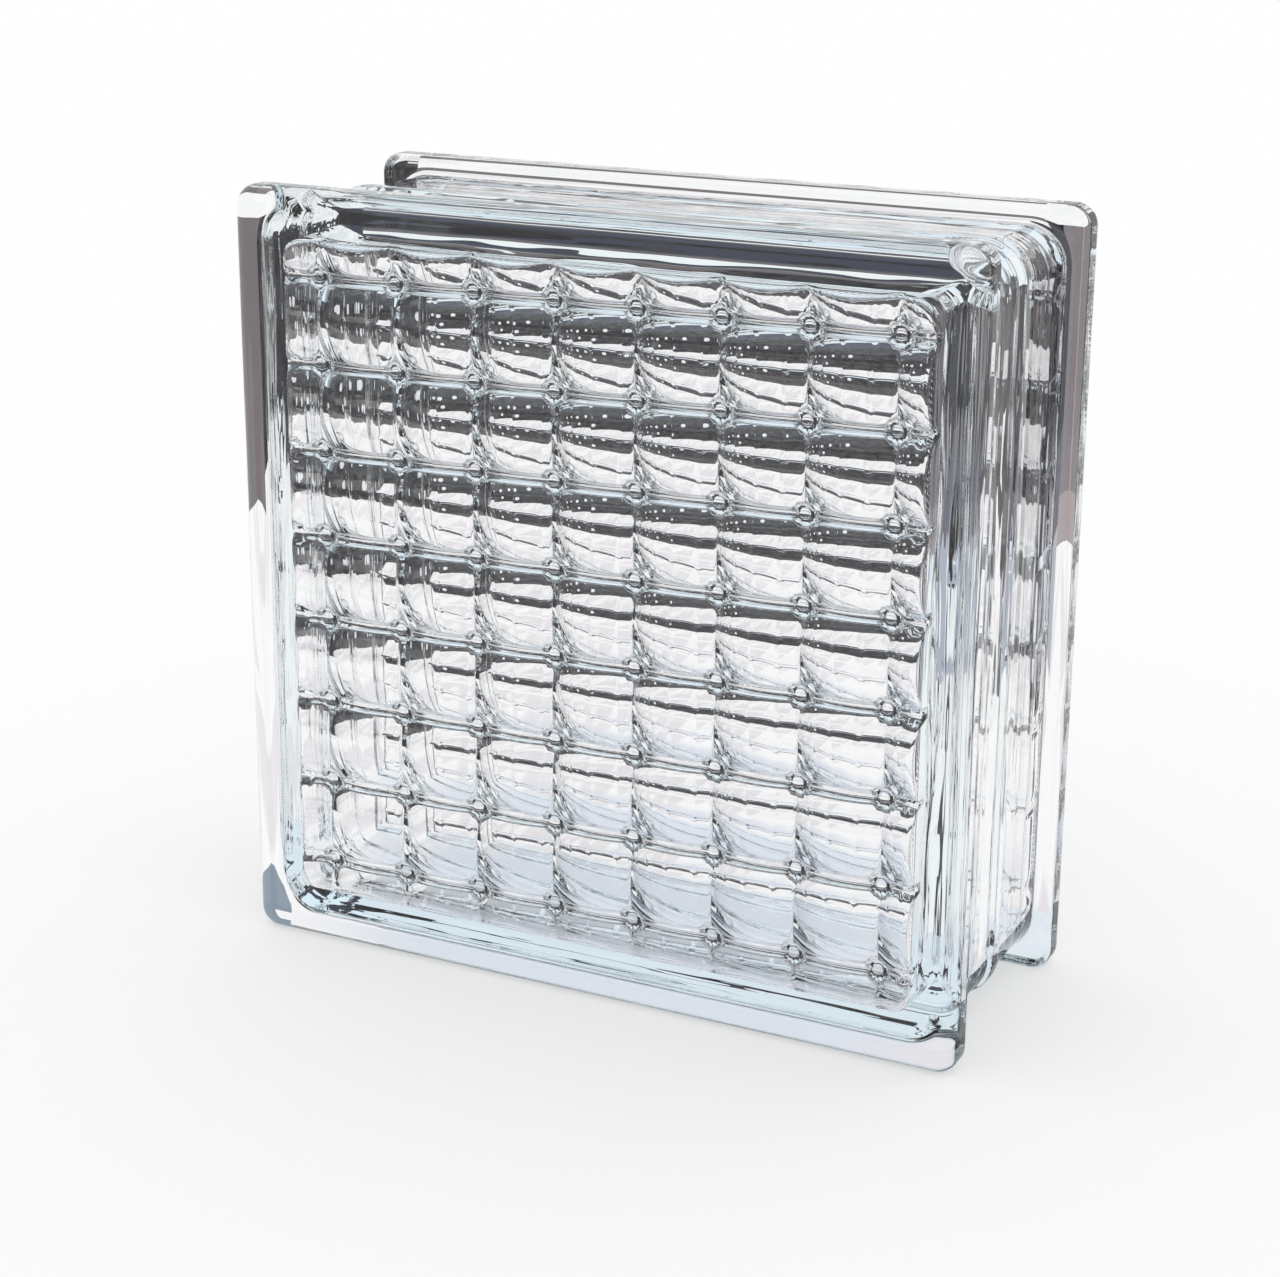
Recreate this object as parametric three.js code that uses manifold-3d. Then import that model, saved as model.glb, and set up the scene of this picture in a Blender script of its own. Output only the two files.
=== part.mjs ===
// Hollow glass building block: two pressed half shells that meet face to face at the mid plane.
// Each half is an open tray: a smooth outer face with a flange that stands out past a recessed
// side wall, and a ribbed lattice of dished cells on the inside of the pane.
// Millimetres, +Z up. X runs along the face, -Y is the front. The origin is at the middle of the
// bottom, so the block stands on the lower edges of its two flanges.

import * as THREE from 'three';
import { mergeVertices } from 'three/addons/utils/BufferGeometryUtils.js';
import Module from 'manifold-3d';

const wasm = await Module();
wasm.setup();

// Overall
const faceWidth = 197;
const faceHeight = 197;
const blockDepth = 79.5;

// Flange around each face
const flangeThickness = 9.5;
const flangeCornerRadius = 5.5;
const faceEdgeRadius = 4.5;
const flangeBackRadius = 1.5;

// Mortar channel between the flanges, and the fused seam in its middle
const channelDepth = 6;
const channelCornerRadius = 10;
const channelFilletRadius = 2.5;
const seamRidgeHeight = 2;
const seamRidgeWidth = 7;

// Inside of a half shell
const wallThickness = 6;
const cavityCornerRadius = 4.5;
const cavityFilletRadius = 3;
const wallDraft = 0.8;
const paneThickness = 3.7;

// Lattice on the inside of the pane: rows and columns of dished cells, with a rib along each level
// ridge. The pane is thinnest at the bottom of a dish, and a dish rises by its depth each way.
const latticePitch = 21.9;
const ridgeLines = 8;
const dishDepth = 2.8;
const ribWidth = 2.7;
const ribTopWidth = 1.4;
const ribHeight = 1.4;

// Facets
const cornerSteps = 6;
const roundSteps = 4;
const dishSteps = 5;
const cutMargin = 1;

const halfDepth = blockDepth / 2;

// Points of a rounded rectangle, inset from the face outline, with the corners as arcs.
function outlineRing(inset, cornerRadius) {
  const halfWidth = faceWidth / 2 - inset - cornerRadius;
  const halfHeight = faceHeight / 2 - inset - cornerRadius;
  const ring = [];
  for (let corner = 0; corner < 4; corner += 1) {
    const sideX = corner === 0 || corner === 3 ? 1 : -1;
    const sideZ = corner < 2 ? 1 : -1;
    for (let step = 0; step <= cornerSteps; step += 1) {
      const angle = (corner + step / cornerSteps) * Math.PI / 2;
      const x = sideX * halfWidth + cornerRadius * Math.cos(angle);
      const z = sideZ * halfHeight + cornerRadius * Math.sin(angle);
      ring.push([x, z]);
    }
  }
  return ring;
}

// A closed solid through a list of sections { y, inset, radius } that runs towards +Y.
function loft(sections) {
  const positions = [];
  const faces = [];
  const ringSize = 4 * (cornerSteps + 1);
  for (const { y, inset, radius } of sections) {
    for (const [x, z] of outlineRing(inset, radius)) {
      positions.push(x, y, z);
    }
  }
  for (let level = 0; level < sections.length - 1; level += 1) {
    for (let i = 0; i < ringSize; i += 1) {
      const a = level * ringSize + i;
      const b = level * ringSize + (i + 1) % ringSize;
      faces.push(a, a + ringSize, b, b, a + ringSize, b + ringSize);
    }
  }
  const lastRing = (sections.length - 1) * ringSize;
  const firstCentre = positions.length / 3;
  positions.push(0, sections[0].y, 0, 0, sections[sections.length - 1].y, 0);
  for (let i = 0; i < ringSize; i += 1) {
    const next = (i + 1) % ringSize;
    faces.push(firstCentre, i, next);
    faces.push(firstCentre + 1, lastRing + next, lastRing + i);
  }
  const geometry = new THREE.BufferGeometry();
  geometry.setAttribute('position', new THREE.Float32BufferAttribute(positions, 3));
  geometry.setIndex(faces);
  return geometry;
}

function toSolid(geometry) {
  geometry.deleteAttribute('normal');
  geometry.deleteAttribute('uv');
  const merged = mergeVertices(geometry);
  return new wasm.Manifold(new wasm.Mesh({
    numProp: 3,
    vertProperties: new Float32Array(merged.attributes.position.array),
    triVerts: new Uint32Array(merged.index.array),
  }));
}

function toGeometry(solid) {
  const mesh = solid.getMesh();
  const geometry = new THREE.BufferGeometry();
  geometry.setAttribute('position', new THREE.BufferAttribute(mesh.vertProperties, 3));
  geometry.setIndex(new THREE.BufferAttribute(mesh.triVerts, 1));
  geometry.computeVertexNormals();
  return geometry;
}

// Sections of a quarter round. startAngle is where it starts, turn is +1 or -1 quarter of a circle,
// baseRadius is the corner radius of the outline at the arc's own centre.
function quarterRound(centreY, centreInset, arcRadius, baseRadius, startAngle, turn) {
  const sections = [];
  for (let step = 0; step <= roundSteps; step += 1) {
    const angle = startAngle + turn * (step / roundSteps) * Math.PI / 2;
    const inset = centreInset - arcRadius * Math.sin(angle);
    const radius = baseRadius + centreInset - inset;
    sections.push({ y: centreY + arcRadius * Math.cos(angle), inset, radius });
  }
  return sections;
}

// The outside of the front half: face, flange, channel wall and half of the seam ridge.
function outerSections() {
  const flangeBack = -halfDepth + flangeThickness;
  const wallInset = channelDepth;
  const ridgeStart = -seamRidgeWidth / 2;
  const faceRadius = flangeCornerRadius - faceEdgeRadius;
  const backRadius = flangeCornerRadius - flangeBackRadius;
  const filletRadius = channelCornerRadius + channelFilletRadius;
  return [
    ...quarterRound(-halfDepth + faceEdgeRadius, faceEdgeRadius, faceEdgeRadius, faceRadius, Math.PI, -1),
    ...quarterRound(flangeBack - flangeBackRadius, flangeBackRadius, flangeBackRadius, backRadius,
      Math.PI / 2, -1),
    ...quarterRound(flangeBack + channelFilletRadius, wallInset - channelFilletRadius,
      channelFilletRadius, filletRadius, Math.PI, 1),
    { y: ridgeStart - seamRidgeHeight, inset: wallInset, radius: channelCornerRadius },
    { y: ridgeStart, inset: wallInset - seamRidgeHeight, radius: channelCornerRadius + seamRidgeHeight },
    { y: 0, inset: wallInset - seamRidgeHeight, radius: channelCornerRadius + seamRidgeHeight },
  ];
}

// The hollow of the front half, from the pane to just past the mid plane, before the lattice.
function cavitySections() {
  const floor = -halfDepth + paneThickness;
  const floorInset = channelDepth + wallThickness + wallDraft;
  const openInset = channelDepth + wallThickness;
  const footRadius = cavityCornerRadius - cavityFilletRadius;
  return [
    ...quarterRound(floor + cavityFilletRadius, floorInset + cavityFilletRadius, cavityFilletRadius,
      footRadius, Math.PI, -1),
    { y: cutMargin, inset: openInset, radius: cavityCornerRadius },
  ];
}

// Lines of the lattice's grid one way, as far as the reach: the steps of the dishes, which leave
// the gap free at each ridge, and any lines in that gap.
function gridLines(reach, gap, linesInGap) {
  const dishWidth = latticePitch - gap;
  const lines = [];
  for (let cell = 0; cell <= ridgeLines; cell += 1) {
    const middle = (cell - ridgeLines / 2) * latticePitch;
    for (let step = gap > 0 ? 0 : 1; step <= dishSteps; step += 1) {
      lines.push(middle + (step / dishSteps - 1 / 2) * dishWidth);
    }
    for (const line of cell < ridgeLines ? linesInGap : []) {
      lines.push(middle + latticePitch / 2 + line);
    }
  }
  return [-reach, ...lines.filter((line) => Math.abs(line) < reach), reach];
}

// How far a place is from the middle of its dish, one way.
function fromMiddle(value) {
  return Math.abs(value - latticePitch * Math.round(value / latticePitch));
}

// Height of the lattice over the bottoms of the dishes.
function latticeHeight(x, z) {
  const across = dishDepth * (2 * fromMiddle(x) / latticePitch) ** 2;
  const up = dishDepth * (2 * fromMiddle(z) / latticePitch) ** 2;
  const intoRib = fromMiddle(z) - (latticePitch - ribWidth) / 2;
  const rib = ribHeight * Math.min(intoRib / ((ribWidth - ribTopWidth) / 2), 1);
  return across + up + Math.max(rib, 0);
}

// A block that fills the hollow down to the lattice, with the lattice on its -Y side.
function latticeBlock() {
  const columns = gridLines(faceWidth / 2, 0, []);
  const rows = gridLines(faceHeight / 2, ribWidth, [-ribTopWidth / 2, ribTopWidth / 2]);
  const across = columns.length - 1;
  const up = rows.length - 1;
  const depth = halfDepth - paneThickness + cutMargin;
  const geometry = new THREE.BoxGeometry(across, up, depth, across, up, 1);
  geometry.rotateX(Math.PI / 2);
  geometry.translate(across / 2, depth / 2 - halfDepth + paneThickness, up / 2);
  const position = geometry.attributes.position;
  for (let i = 0; i < position.count; i += 1) {
    const x = columns[Math.round(position.getX(i))];
    const y = position.getY(i);
    const z = rows[Math.round(position.getZ(i))];
    position.setXYZ(i, x, y < 0 ? y + latticeHeight(x, z) : y, z);
  }
  return geometry;
}

function halfShellGeometry() {
  const outside = toSolid(loft(outerSections()));
  const hollow = toSolid(loft(cavitySections())).intersect(toSolid(latticeBlock()));
  return toGeometry(outside.subtract(hollow));
}

const glass = new THREE.MeshStandardMaterial({ color: 0xdfeaf0, roughness: 0.05, metalness: 0 });

const frontHalf = new THREE.Mesh(halfShellGeometry(), glass.clone());
frontHalf.name = 'front_half_shell';

const rearHalf = new THREE.Mesh(halfShellGeometry(), glass.clone());
rearHalf.name = 'rear_half_shell';
rearHalf.rotation.z = Math.PI;

const group = new THREE.Group();
group.name = 'glass_block';
group.add(frontHalf, rearHalf);
group.position.z = faceHeight / 2;

export default group;
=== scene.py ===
import math

import bpy
from mathutils import Matrix, Vector
from mathutils.geometry import delaunay_2d_cdt


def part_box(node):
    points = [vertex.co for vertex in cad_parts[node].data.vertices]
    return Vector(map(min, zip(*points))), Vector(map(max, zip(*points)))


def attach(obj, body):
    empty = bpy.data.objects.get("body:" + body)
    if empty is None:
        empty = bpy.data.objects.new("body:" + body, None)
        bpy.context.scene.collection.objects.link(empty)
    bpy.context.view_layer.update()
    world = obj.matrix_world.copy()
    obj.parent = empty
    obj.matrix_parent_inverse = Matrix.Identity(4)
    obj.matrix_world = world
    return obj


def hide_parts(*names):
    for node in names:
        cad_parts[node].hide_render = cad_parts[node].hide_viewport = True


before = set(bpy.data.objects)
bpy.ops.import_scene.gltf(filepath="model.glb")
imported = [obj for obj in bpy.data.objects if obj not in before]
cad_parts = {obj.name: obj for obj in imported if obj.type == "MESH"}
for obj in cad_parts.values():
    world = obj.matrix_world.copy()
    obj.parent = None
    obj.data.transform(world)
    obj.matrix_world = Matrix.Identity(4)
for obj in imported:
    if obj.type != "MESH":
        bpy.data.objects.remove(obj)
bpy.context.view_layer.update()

mm = 0.001
plainWhite = (1, 1, 1, 1)


# a socket that takes Python's + and *; addNode adds every other kind of node
class Wire:
    def __init__(self, tree, socket):
        self.tree = tree
        self.socket = socket

    def maths(self, operation, first, second):
        return addNode(self.tree, "ShaderNodeMath", {"operation": operation}, {0: first, 1: second})

    def __add__(self, other):
        return self.maths("ADD", self, other)

    def __radd__(self, other):
        return self.maths("ADD", other, self)

    def __mul__(self, other):
        return self.maths("MULTIPLY", self, other)

    def __rmul__(self, other):
        return self.maths("MULTIPLY", other, self)


def addNode(tree, kind, settings=None, sockets=None, output=0):
    node = tree.nodes.new(kind)
    for name, value in (settings or {}).items():
        setattr(node, name, value)
    for name, value in (sockets or {}).items():
        if isinstance(value, Wire):
            tree.links.new(value.socket, node.inputs[name])
        else:
            node.inputs[name].default_value = value
    return Wire(tree, node.outputs[output]) if len(node.outputs) else node


def mixColours(tree, share, first, second):  # the Mix node's colour sockets share their names, so they go by number
    return addNode(tree, "ShaderNodeMix", {"data_type": "RGBA"}, {0: share, 6: first, 7: second}, output=2)


def stretch(tree, place, scale):
    return addNode(tree, "ShaderNodeVectorMath", {"operation": "MULTIPLY"}, {0: place, 1: scale})


def newMaterial(name):
    material = bpy.data.materials.new(name)
    material.use_nodes = True
    material.node_tree.nodes.clear()
    material.cycles.emission_sampling = "NONE"  # the glowing stage is looked at and isn't sampled as a lamp
    return material, material.node_tree


def addPiece(name, vertices, faces, material):
    mesh = bpy.data.meshes.new(name)
    mesh.from_pydata(vertices, [], faces)
    mesh.materials.append(material)
    piece = bpy.data.objects.new(name, mesh)
    bpy.context.scene.collection.objects.link(piece)
    return piece


# the block's shape and how finely it is meshed, in millimetres from its middle
blockShape = {
    "faceRound": 4.5,          # rounding of the outer edge of each face
    "flangeDepth": 9.5,        # how thick each flange is
    "flangeCorner": 5.5,
    "flangeBackRound": 1.5,
    "channelDepth": 5.2,
    "channelCorner": 10.0,
    "channelFillet": 2.5,
    "seamHeight": 1.2,         # the fused ridge in the middle of the channel
    "seamWidth": 7.0,
    "seamFoot": 1.2,           # how far its foot spreads for each millimetre of its height
    "seamCrown": 0.6,          # how far in its flank reaches, as a share of its half width
    "wall": 6.8,
    "wallDraft": 0.8,
    "cavityCorner": 4.5,
    "cavityFillet": 3.0,
    "pane": 3.7,               # glass left under the bottom of a dish
    "pitch": 21.9,             # between the ridges of the lattice
    "dish": 2.8,               # how deep a dish is each way
    "dishBend": 1.7,           # the smaller, the straighter a dish's sides run up to the ridges
    "ribHalf": 1.35,           # half width of the round rib along each level ridge
    "ribHeight": 1.4,
    "beadRadius": 2.3,         # the small ball where two ridges cross
    "beadLift": 0.1,           # of its middle over the crossing ridges
    "flatInset": 0.4,          # how far inside its rounding the flat of a face begins
    "flatCorner": 0.01,        # and how much rounder its corners are
    "edgeGap": 0.3,            # from a rounding to the next ring, which keeps the flat there flat
    "offsetsX": (0.6, 1.2, 1.8, 2.3, 3.3, 4.6, 6.0, 7.6, 9.3),  # of the mesh lines from each ridge
    "offsetsZ": (0.4, 0.8, 1.1, 1.28, 1.36, 1.8, 2.3, 3.3, 4.6, 6.0, 7.6, 9.3),
    "rimStep": 1.6,            # between the points along the foot of the side wall
    "rimRows": (0.06, 0.25, 0.55, 0.95, 1.5, 2.1, 2.7, 3.0),  # from the foot in to each row of points beside it
    "rimGap": 3.4,             # from the foot in to where the mesh lines begin
    "rimLift": 0.2,            # from the top of the foot's fillet to the even rows of the side wall
    "mergeReach": 1e-4,
    "cornerSteps": 14,
    "roundSteps": 8,
    "seamSteps": 6,
    "wallSteps": 5,
}

low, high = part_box("front_half_shell")
halfWidth = (high[0] - low[0]) / 2 / mm
halfHeight = (high[2] - low[2]) / 2 / mm
halfDepth = (high[1] - low[1]) / mm
centreZ = (high[2] + low[2]) / 2 / mm


def ringPoints(inset, radius, shape):
    points = []
    for corner in range(4):
        sideX = 1 if corner in (0, 3) else -1
        sideZ = 1 if corner < 2 else -1
        for step in range(shape["cornerSteps"] + 1):
            angle = (corner + step / shape["cornerSteps"]) * math.pi / 2
            x = sideX * (halfWidth - inset - radius) + radius * math.cos(angle)
            z = sideZ * (halfHeight - inset - radius) + radius * math.sin(angle)
            points.append((x, z))
    return points


def quarterRound(y, inset, arc, base, start, turn, shape):
    rings = []
    for step in range(shape["roundSteps"] + 1):
        angle = start + turn * step / shape["roundSteps"] * math.pi / 2
        ringInset = inset - arc * math.sin(angle)
        rings.append((y + arc * math.cos(angle), ringInset, base + inset - ringInset))
    return rings


def outerRings(shape):  # y, inset and corner radius, from the front face to just before the mid plane
    back = -halfDepth + shape["flangeDepth"]
    face = shape["faceRound"]
    flange = shape["flangeCorner"]
    backRound = shape["flangeBackRound"]
    fillet = shape["channelFillet"]
    depth = shape["channelDepth"]
    corner = shape["channelCorner"]
    gap = shape["edgeGap"]
    rings = [(-halfDepth, face + shape["flatInset"], flange - face + shape["flatCorner"])]
    rings += quarterRound(-halfDepth + face, face, face, flange - face, math.pi, -1, shape)
    rings += [(-halfDepth + face + gap, 0, flange), (back - backRound - gap, 0, flange)]
    rings += quarterRound(back - backRound, backRound, backRound, flange - backRound, math.pi / 2, -1, shape)
    rings += quarterRound(back + fillet, depth - fillet, fillet, corner + fillet, math.pi, 1, shape)
    rise = shape["seamHeight"]
    seamHalf = shape["seamWidth"] / 2
    foot = rise * shape["seamFoot"]
    for step in range(1, shape["seamSteps"] + 1):  # the seam ridge rises in an S and ends in a soft crown
        share = step / shape["seamSteps"]
        lift = rise * (0.5 - 0.5 * math.cos(math.pi * share))
        y = -seamHalf - foot + share * (foot + seamHalf * shape["seamCrown"])
        rings.append((y, depth - lift, corner + lift))
    return rings


def closedLoft(rings, vertices, faces, shape):
    start = len(vertices)
    size = 4 * (shape["cornerSteps"] + 1)
    for y, inset, radius in rings:
        vertices += [(x, y, z) for x, z in ringPoints(inset, radius, shape)]
    last = start + (len(rings) - 1) * size
    for first in range(start, last, size):
        for i in range(size):
            a, b = first + i, first + (i + 1) % size
            faces.append((a, a + size, b + size, b))
    faces.append([start + i for i in range(size)])
    faces.append([last + i for i in reversed(range(size))])


def joinRings(first, second, faces):
    count = len(first)
    for i in range(count):
        j = (i + 1) % count
        faces.append((first[i], first[j], second[j], second[i]))


def outlineDistance(x, z, inset, radius):  # how far inside the rounded outline a point is
    dx = abs(x) - (halfWidth - inset - radius)
    dz = abs(z) - (halfHeight - inset - radius)
    outside = math.hypot(max(dx, 0), max(dz, 0)) + min(max(dx, dz), 0)
    return radius - outside


def latticeHeight(x, z, shape):
    pitch = shape["pitch"]
    half = shape["ribHalf"]
    bend = shape["dishBend"]
    full = math.hypot(1, 0.5 / bend) - 1
    total = 0
    near = []
    for value in (x, z):
        away = abs(value / pitch - round(value / pitch))
        near.append((0.5 - away) * pitch)
        total += (math.hypot(1, away / bend) - 1) / full
    height = shape["dish"] * total
    if near[1] < half:
        height += shape["ribHeight"] * math.sqrt(1 - (near[1] / half) ** 2)
    reach = math.hypot(*near)
    if reach < shape["beadRadius"]:
        bead = 2 * shape["dish"] + shape["beadLift"] + math.sqrt(shape["beadRadius"] ** 2 - reach * reach)
        height = max(height, bead)
    return height


def floorHeight(x, z, inset, shape):
    fillet = shape["cavityFillet"]
    base = latticeHeight(x, z, shape)
    away = outlineDistance(x, z, inset, shape["cavityCorner"])
    if away >= fillet:
        return base
    away = max(away, 0)
    rise = fillet - math.sqrt(max(fillet * fillet - (fillet - away) ** 2, 0))
    return max(base, rise)


def gridLines(reach, offsets, pitch):  # close together along each ridge, wider apart in the dishes
    lines = []
    count = int(reach / pitch) + 1
    for i in range(-count, count + 1):
        ridge = (i + 0.5) * pitch
        lines += [ridge, i * pitch]
        lines += [ridge + side * offset for offset in offsets for side in (1, -1)]
    return sorted(value for value in lines if abs(value) < reach)


def cavityFloor(shape):  # the pane from the wall's foot inwards: points (x, z), heights, triangles
    inset = shape["channelDepth"] + shape["wall"] + shape["wallDraft"]
    corner = shape["cavityCorner"]
    coarse = ringPoints(inset, corner, shape)
    rim = []
    for i, (x0, z0) in enumerate(coarse):  # the long straight sides are cut into short steps
        x1, z1 = coarse[(i + 1) % len(coarse)]
        count = max(1, round(math.hypot(x1 - x0, z1 - z0) / shape["rimStep"]))
        rim += [(x0 + (x1 - x0) * k / count, z0 + (z1 - z0) * k / count) for k in range(count)]
    points = [Vector(place) for place in rim]
    edges = [(i, (i + 1) % len(rim)) for i in range(len(rim))]
    for away in shape["rimRows"]:
        share = 1 - away / (halfWidth - inset)
        points += [Vector((x * share, z * share)) for x, z in rim]
    rows = gridLines(halfHeight - inset, shape["offsetsZ"], shape["pitch"])
    for x in gridLines(halfWidth - inset, shape["offsetsX"], shape["pitch"]):
        points += [Vector((x, z)) for z in rows if outlineDistance(x, z, inset, corner) > shape["rimGap"]]
    insideOnly = 1
    flat, _, triangles, *_ = delaunay_2d_cdt(points, edges, [], insideOnly, shape["mergeReach"])
    heights = [floorHeight(x, z, inset, shape) for x, z in flat]
    return flat, heights, triangles, len(rim)


def buildBlock(shape, glass):
    vertices, faces = [], []
    half = outerRings(shape)
    mirrored = [(-y, inset, radius) for y, inset, radius in reversed(half)]
    closedLoft(half + mirrored, vertices, faces, shape)
    flat, heights, triangles, rimCount = cavityFloor(shape)
    floorY = -halfDepth + shape["pane"]
    starts = []
    for side in (1, -1):  # the front pane's floor, then the rear one's
        start = len(vertices)
        starts.append(start)
        vertices += [(x, side * (floorY + height), z) for (x, z), height in zip(flat, heights)]
        for triangle in triangles:
            ring = triangle if side < 0 else triangle[::-1]
            faces.append([start + i for i in ring])
    top = max(max(heights[:rimCount]), shape["cavityFillet"]) + shape["rimLift"]
    wallY = floorY + top
    steps = shape["wallSteps"]
    previous = [starts[0] + i for i in range(rimCount)]
    for step in range(1, 2 * steps):  # the side wall opens by its draft as far as the mid plane, and closes again
        share = step / steps
        draft = shape["wallDraft"] * (1 - abs(1 - share))
        grow = 1 + draft / (halfWidth - shape["channelDepth"] - shape["wall"])
        ring = [len(vertices) + i for i in range(rimCount)]
        vertices += [(x * grow, wallY * (1 - share), z * grow) for x, z in flat[:rimCount]]
        joinRings(previous, ring, faces)
        previous = ring
    joinRings(previous, [starts[1] + i for i in range(rimCount)], faces)
    places = [(x * mm, y * mm, (z + centreZ) * mm) for x, y, z in vertices]
    piece = addPiece("glassBlock", places, faces, glass)
    piece.data.validate()
    for polygon in piece.data.polygons:
        polygon.use_smooth = True
    return piece


# pressed glass
glassLook = {
    "tint": (0.78, 0.90, 0.93, 1),
    "density": 7.0,                # absorption for each metre of glass
    "ior": 1.5,
    "rippleScale": 28,             # slow ripples of pressed glass, and their height in metres
    "rippleHeight": 0.0004,
    "streakScale": (24, 210, 24),  # long ripples along the outside of the side walls
    "streakHeight": 0.00052,
    "streakStart": 0.001,          # metres from a flange's back to where they start, and to their full height
    "streakFull": 0.0025,
    "levelStreaks": 0.4,           # share of them on the top and the bottom
}


def makeGlass(look, shape):
    wallMiddle = (halfWidth - shape["channelDepth"] - shape["wall"] / 2) * mm
    flangeBack = (halfDepth - shape["flangeDepth"]) * mm
    material, tree = newMaterial("pressedGlass")
    place = addNode(tree, "ShaderNodeTexCoord", output="Object")
    middle = addNode(tree, "ShaderNodeVectorMath", {"operation": "SUBTRACT"}, {0: place, 1: (0, 0, centreZ * mm)})
    size = addNode(tree, "ShaderNodeVectorMath", {"operation": "ABSOLUTE"}, {0: middle})
    x, y, z = [addNode(tree, "ShaderNodeSeparateXYZ", {}, {0: size}, output=axis) for axis in "XYZ"]
    reach = addNode(tree, "ShaderNodeMath", {"operation": "MAXIMUM"}, {0: x, 1: z})
    outside = addNode(tree, "ShaderNodeMath", {"operation": "GREATER_THAN"}, {0: reach, 1: wallMiddle})
    upright = addNode(tree, "ShaderNodeMath", {"operation": "GREATER_THAN"}, {0: x, 1: z})
    between = addNode(tree, "ShaderNodeMapRange", {"interpolation_type": "SMOOTHSTEP"}, {
        "Value": y, "From Min": flangeBack - look["streakStart"], "From Max": flangeBack - look["streakFull"]})
    channel = outside * between * (upright * (1 - look["levelStreaks"]) + look["levelStreaks"])
    waves = addNode(tree, "ShaderNodeTexNoise", {}, {"Vector": place, "Scale": look["rippleScale"], "Detail": 1})
    drawn = stretch(tree, place, look["streakScale"])
    streaks = addNode(tree, "ShaderNodeTexNoise", {}, {"Vector": drawn, "Scale": 1, "Detail": 1})
    relief = waves * look["rippleHeight"] + streaks * channel * look["streakHeight"]
    surface = addNode(tree, "ShaderNodeBump", {}, {"Height": relief, "Strength": 1.0, "Distance": 1.0})
    shader = addNode(tree, "ShaderNodeBsdfPrincipled", {}, {
        "Base Color": plainWhite, "Roughness": 0.0, "IOR": look["ior"],
        "Transmission Weight": 1.0, "Normal": surface})
    inside = addNode(tree, "ShaderNodeVolumeAbsorption", {}, {"Color": look["tint"], "Density": look["density"]})
    addNode(tree, "ShaderNodeOutputMaterial", {}, {"Surface": shader, "Volume": inside})
    return material


block = buildBlock(blockShape, makeGlass(glassLook, blockShape))
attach(block, "root")
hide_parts("front_half_shell", "rear_half_shell")
print("glass block:", len(block.data.polygons), "faces")


# the camera, solved from the block's own edges
cameraFit = {
    "turns": (0.3057, 0.46861, 0.00713),     # radians
    "shift": (4.3235, -13.9738, 685.958),    # millimetres
    "focalPixels": 2713.77,
    "imageWidth": 1280,
    "sensorWidth": 36,
    "clip": (0.05, 50),
}


def makeCamera(fit):
    rx, ry, rz = fit["turns"]
    turnX = Matrix(((1, 0, 0), (0, math.cos(rx), -math.sin(rx)), (0, math.sin(rx), math.cos(rx))))
    turnY = Matrix(((math.cos(ry), 0, math.sin(ry)), (0, 1, 0), (-math.sin(ry), 0, math.cos(ry))))
    turnZ = Matrix(((math.cos(rz), -math.sin(rz), 0), (math.sin(rz), math.cos(rz), 0), (0, 0, 1)))
    swap = Matrix(((1, 0, 0), (0, 0, -1), (0, 1, 0)))
    turn = turnZ @ turnX @ turnY @ swap
    place = -(turn.transposed() @ Vector(fit["shift"]))
    camera = bpy.data.cameras.new("camera")
    camera.sensor_width = fit["sensorWidth"]
    camera.lens = fit["focalPixels"] * fit["sensorWidth"] / fit["imageWidth"]
    camera.clip_start, camera.clip_end = fit["clip"]
    rig = bpy.data.objects.new("camera", camera)
    flip = Matrix(((1, 0, 0), (0, -1, 0), (0, 0, -1)))  # the fit looks along +Z, a camera along -Z
    world = (flip @ turn).transposed().to_4x4()
    world.translation = (place + Vector((0, 0, centreZ))) * mm
    rig.matrix_world = world
    bpy.context.scene.collection.objects.link(rig)
    bpy.context.scene.camera = rig
    print("camera at", [round(value, 3) for value in world.translation])


makeCamera(cameraFit)


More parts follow.
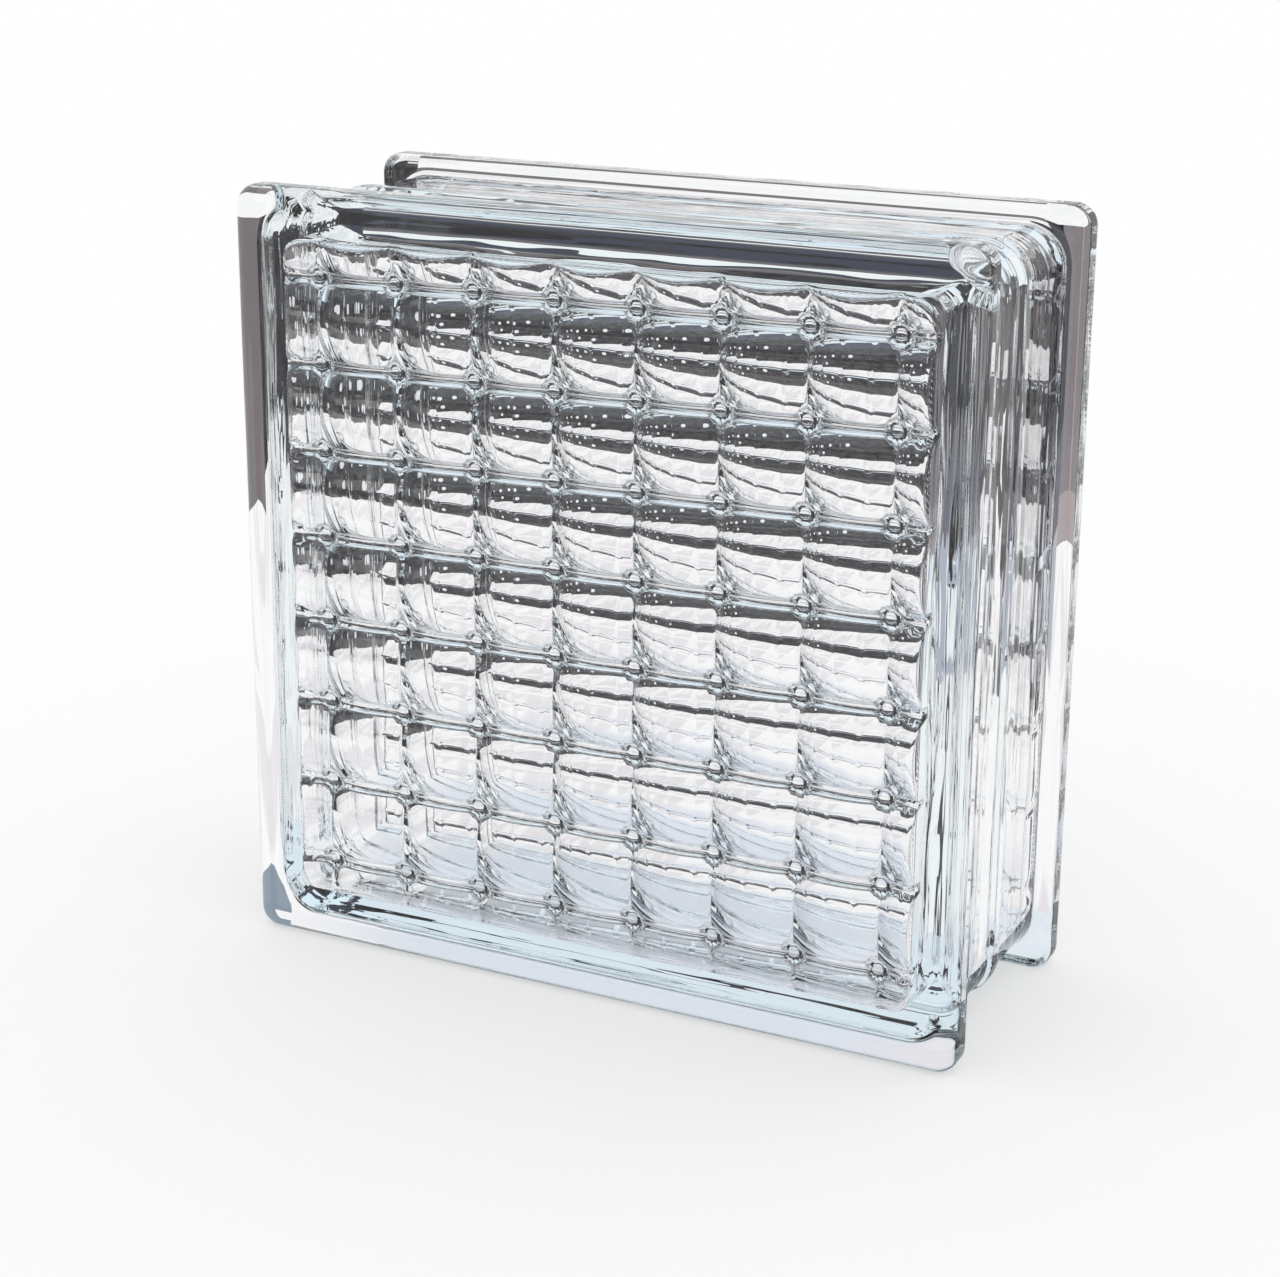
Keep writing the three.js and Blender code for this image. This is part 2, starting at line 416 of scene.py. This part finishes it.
# the stage: a pale floor, and cards for the room that shows only through the glass
stageLook = {
    "floorSpan": ((-4, -4, 0), (4, -4, 0), (4, 6, 0), (-4, 6, 0)),
    "floorColour": (0.99, 0.99, 0.99, 1),
    "floorLift": 0.5,            # share of plain white in what the camera sees of the floor
    "floorThroughGlass": (0.98, 0.97, 0.97, 1),
    # painted shadow: the floor seen through the glass is darker and bluish near the block
    "paintedShadowUnderBlock": (0.74, 0.78, 0.86, 1),
    "shadowFadeStart": 0.055,         # metres from the block's middle where the painted shadow under the block starts to fade
    "shadowFadeEnd": 0.11,
    "floorGrain": (17, 2.5, 1),  # soft stripes of the floor as seen through the glass
    "floorStripe": (0.84, 0.81, 0.83, 1),
    "stripeEdges": (0.52, 0.60),
    "skyColour": (0.82, 0.93, 1.0, 1),
    "cardColours": {
        "brown": (0.165, 0.144, 0.147, 1),
        "pink": (0.40, 0.34, 0.345, 1),
        "white": (0.97, 0.97, 0.97, 1),
        "dusk": (0.060, 0.060, 0.070, 1),
        "slate": (0.15, 0.15, 0.18, 1),
        "haze": (0.46, 0.47, 0.54, 1),
        "ice": (0.80, 0.86, 0.92, 1),
        "taupe": (0.235, 0.212, 0.222, 1),
        "steel": (0.24, 0.30, 0.37, 1),
        "black": (0.010, 0.009, 0.012, 1),
        "navy": (0.045, 0.050, 0.075, 1),
    },
    "clutterDark": (0.010, 0.009, 0.012, 1),
    "clutterPale": (0.050, 0.044, 0.047, 1),
    "clutterGrain": (12, 12, 60),
    "clutterEdges": (0.50, 0.62),
    "lampColour": (0.86, 0.87, 0.90, 1),
    "lampGrain": (7, 7, 11),
    "lampSize": 0.20,
    "stepDegrees": 7.5,
    # each card of the room: colour, radius, from and to height in metres, first angle and turn in degrees from +X
    "room": (
        ("clutter", 0.51, 0.00, 0.13, 0, 180),
        ("black", 0.27, 0.00, 0.30, -5, 33),
        ("clutter", 0.51, 0.13, 0.225, 0, 180),
        ("navy", 0.51, 0.225, 0.315, 0, 180),
        ("black", 0.60, 0.00, 0.50, 180, 180),
    ),
    "upstand": (0.20, 0.0, 0.010, -10, 200),  # a low white fence close behind the block
    # small cards close behind the flanges: colour, then the corners in millimetres from the block's middle
    "flags": (
        ("brown", (-104.5, -24, 19), (-97, -24, 12), (-97, -24, 88.5), (-104.5, -24, 88.5)),
        ("white", (-104.5, -24, 88.5), (-92, -24, 88.5), (-92, -24, 98), (-104.5, -24, 98)),
        ("steel", (-104.5, -24, -98.4), (-95, -24, -98.4), (-95, -24, -90), (-104.5, -24, -82.5)),
        ("dusk", (80.5, 42, -92), (83.5, 42, -92), (84, 42, 0), (80, 42, 0)),
        ("black", (80, 42, 0), (84, 42, 0), (84, 42, 88), (80, 42, 88)),
        ("haze", (84, 42, -15), (89, 42, -22), (89, 42, 18), (84, 42, 11)),
        ("slate", (84, 42, 11), (89, 42, 18), (89, 42, 44), (84, 42, 34)),
        ("dusk", (84, 42, 34), (89, 42, 44), (89, 42, 90), (84, 42, 90)),
        ("taupe", (89, 42, 25), (93.6, 42, 27), (93.6, 42, 92), (89, 42, 92)),
        ("pink", (89, 42, 12), (93.6, 42, 14), (93.6, 42, 27), (89, 42, 25)),
        ("pink", (93.6, 42, 14), (95.4, 42, 19), (95.4, 42, 92), (93.6, 42, 92)),
        ("haze", (95.4, 42, -15), (101, 42, -24), (101, 42, 9), (95.4, 42, 20)),
        ("slate", (95.4, 42, 20), (101, 42, 9), (101, 42, 33), (95.4, 42, 46)),
        ("dusk", (95.4, 42, 46), (101, 42, 33), (101, 42, 92), (95.4, 42, 92)),
        ("black", (101, 42, -30), (106, 42, -30), (106, 42, 88), (101, 42, 88)),
        ("white", (84, 42, 92), (101, 42, 92), (101, 42, 100), (84, 42, 100)),
        ("white", (-92, 42, 93.1), (84, 42, 92.4), (84, 42, 94.8), (-92, 42, 94.8)),
        ("brown", (-92, 42, 90.5), (84, 42, 90.5), (84, 42, 92.4), (-92, 42, 93.1)),
        ("ice", (-98, 42, -98.4), (98, 42, -98.4), (98, 42, -86), (-98, 42, -86)),
    ),
}


def hiddenCard(name, vertices, faces, material):  # seen only through the glass
    card = addPiece(name, vertices, faces, material)
    card.visible_camera = False
    card.visible_diffuse = False
    card.visible_glossy = False
    card.visible_shadow = False


def bentCard(name, material, radius, lowZ, highZ, start, turn):  # an upright card on an arc round the block
    steps = max(1, round(turn / stageLook["stepDegrees"]))
    vertices = []
    for step in range(steps + 1):
        angle = math.radians(start + turn * step / steps)
        x, y = radius * math.cos(angle), radius * math.sin(angle)
        vertices += [(x, y, lowZ), (x, y, highZ)]
    faces = [(a, a + 2, a + 3, a + 1) for a in range(0, 2 * steps, 2)]
    hiddenCard(name, vertices, faces, material)


def glowMaterial(name, colour):
    material, tree = newMaterial(name)
    glow = addNode(tree, "ShaderNodeEmission", {}, {"Color": colour, "Strength": 1.0})
    addNode(tree, "ShaderNodeOutputMaterial", {}, {"Surface": glow})
    return material


def clutterMaterial(look):  # black and brown patches, wider than tall, and small bright lamps
    material, tree = newMaterial("clutter")
    place = addNode(tree, "ShaderNodeNewGeometry", output="Position")
    grain = stretch(tree, place, look["clutterGrain"])
    noise = addNode(tree, "ShaderNodeTexNoise", {}, {"Vector": grain, "Scale": 1, "Detail": 1})
    darkEnd, paleEnd = look["clutterEdges"]
    spread = addNode(tree, "ShaderNodeMapRange", {}, {"Value": noise, "From Min": darkEnd, "From Max": paleEnd})
    patches = mixColours(tree, spread, look["clutterDark"], look["clutterPale"])
    dots = stretch(tree, place, look["lampGrain"])
    away = addNode(tree, "ShaderNodeTexVoronoi", {}, {"Vector": dots, "Scale": 1})
    lamp = addNode(tree, "ShaderNodeMath", {"operation": "LESS_THAN"}, {0: away, 1: look["lampSize"]})
    colour = mixColours(tree, lamp, patches, look["lampColour"])
    glow = addNode(tree, "ShaderNodeEmission", {}, {"Color": colour, "Strength": 1.0})
    addNode(tree, "ShaderNodeOutputMaterial", {}, {"Surface": glow})
    return material


def makeFloor(look):  # lit and shaded where it is seen directly, glowing where it is seen through the glass, with a darker, bluish painted shadow under the block
    material, tree = newMaterial("paleFloor")
    lit = addNode(tree, "ShaderNodeBsdfDiffuse", {}, {"Color": look["floorColour"]})
    white = addNode(tree, "ShaderNodeEmission", {}, {"Color": plainWhite, "Strength": 1.0})
    direct = addNode(tree, "ShaderNodeLightPath", output="Is Camera Ray")
    plain = addNode(tree, "ShaderNodeMixShader", {}, {0: direct * look["floorLift"], 1: lit, 2: white})
    # the painted shadow under the block fades out with distance from the block's middle
    place = addNode(tree, "ShaderNodeNewGeometry", output="Position")
    away = addNode(tree, "ShaderNodeVectorMath", {"operation": "LENGTH"}, {0: place}, output="Value")
    spread = addNode(tree, "ShaderNodeMapRange", {"interpolation_type": "SMOOTHSTEP"},
                     {"Value": away, "From Min": look["shadowFadeStart"], "From Max": look["shadowFadeEnd"]})
    grain = stretch(tree, place, look["floorGrain"])
    noise = addNode(tree, "ShaderNodeTexNoise", {}, {"Vector": grain, "Scale": 1, "Detail": 0})
    plainEnd, stripeEnd = look["stripeEdges"]
    stripe = addNode(tree, "ShaderNodeMapRange", {}, {"Value": noise, "From Min": plainEnd, "From Max": stripeEnd})
    openFloor = mixColours(tree, stripe, look["floorThroughGlass"], look["floorStripe"])
    seen = mixColours(tree, spread, look["paintedShadowUnderBlock"], openFloor)
    glow = addNode(tree, "ShaderNodeEmission", {}, {"Color": seen, "Strength": 1.0})
    through = addNode(tree, "ShaderNodeLightPath", output="Is Transmission Ray")
    shader = addNode(tree, "ShaderNodeMixShader", {}, {0: through, 1: plain, 2: glow})
    addNode(tree, "ShaderNodeOutputMaterial", {}, {"Surface": shader})
    addPiece("floor", look["floorSpan"], [(0, 1, 2, 3)], material)
    print("floor is laid")


def makeRoom(look):  # the darker room beyond the block
    materials = {name: glowMaterial(name, colour) for name, colour in look["cardColours"].items()}
    materials["clutter"] = clutterMaterial(look)
    for i, (colour, *place) in enumerate(look["room"]):
        bentCard("room%d" % i, materials[colour], *place)
    bentCard("upstand", glowMaterial("upstandWhite", look["floorThroughGlass"]), *look["upstand"])
    for i, (colour, *corners) in enumerate(look["flags"]):
        places = [(x * mm, y * mm, (z + centreZ) * mm) for x, y, z in corners]
        hiddenCard("flag%d" % i, places, [(0, 1, 2, 3)], materials[colour])
    print("room:", len(look["room"]) + 1, "bent cards and", len(look["flags"]), "flat ones")


def makeLight(look):  # an even white sky, a little blue where it is seen through the glass
    world = bpy.data.worlds.new("studio")
    world.use_nodes = True
    tree = world.node_tree
    tree.nodes.clear()
    back = addNode(tree, "ShaderNodeBackground", {}, {"Color": plainWhite, "Strength": 1.0})
    sky = addNode(tree, "ShaderNodeBackground", {}, {"Color": look["skyColour"], "Strength": 1.0})
    through = addNode(tree, "ShaderNodeLightPath", output="Is Transmission Ray")
    shader = addNode(tree, "ShaderNodeMixShader", {}, {0: through, 1: back, 2: sky})
    addNode(tree, "ShaderNodeOutputWorld", {}, {"Surface": shader})
    bpy.context.scene.world = world
    print("light is set")


makeFloor(stageLook)
makeRoom(stageLook)
makeLight(stageLook)

scene = bpy.context.scene
scene.view_settings.view_transform = "Standard"
scene.cycles.max_bounces = 24
scene.cycles.transmission_bounces = 24
scene.cycles.glossy_bounces = 6
scene.cycles.diffuse_bounces = 2
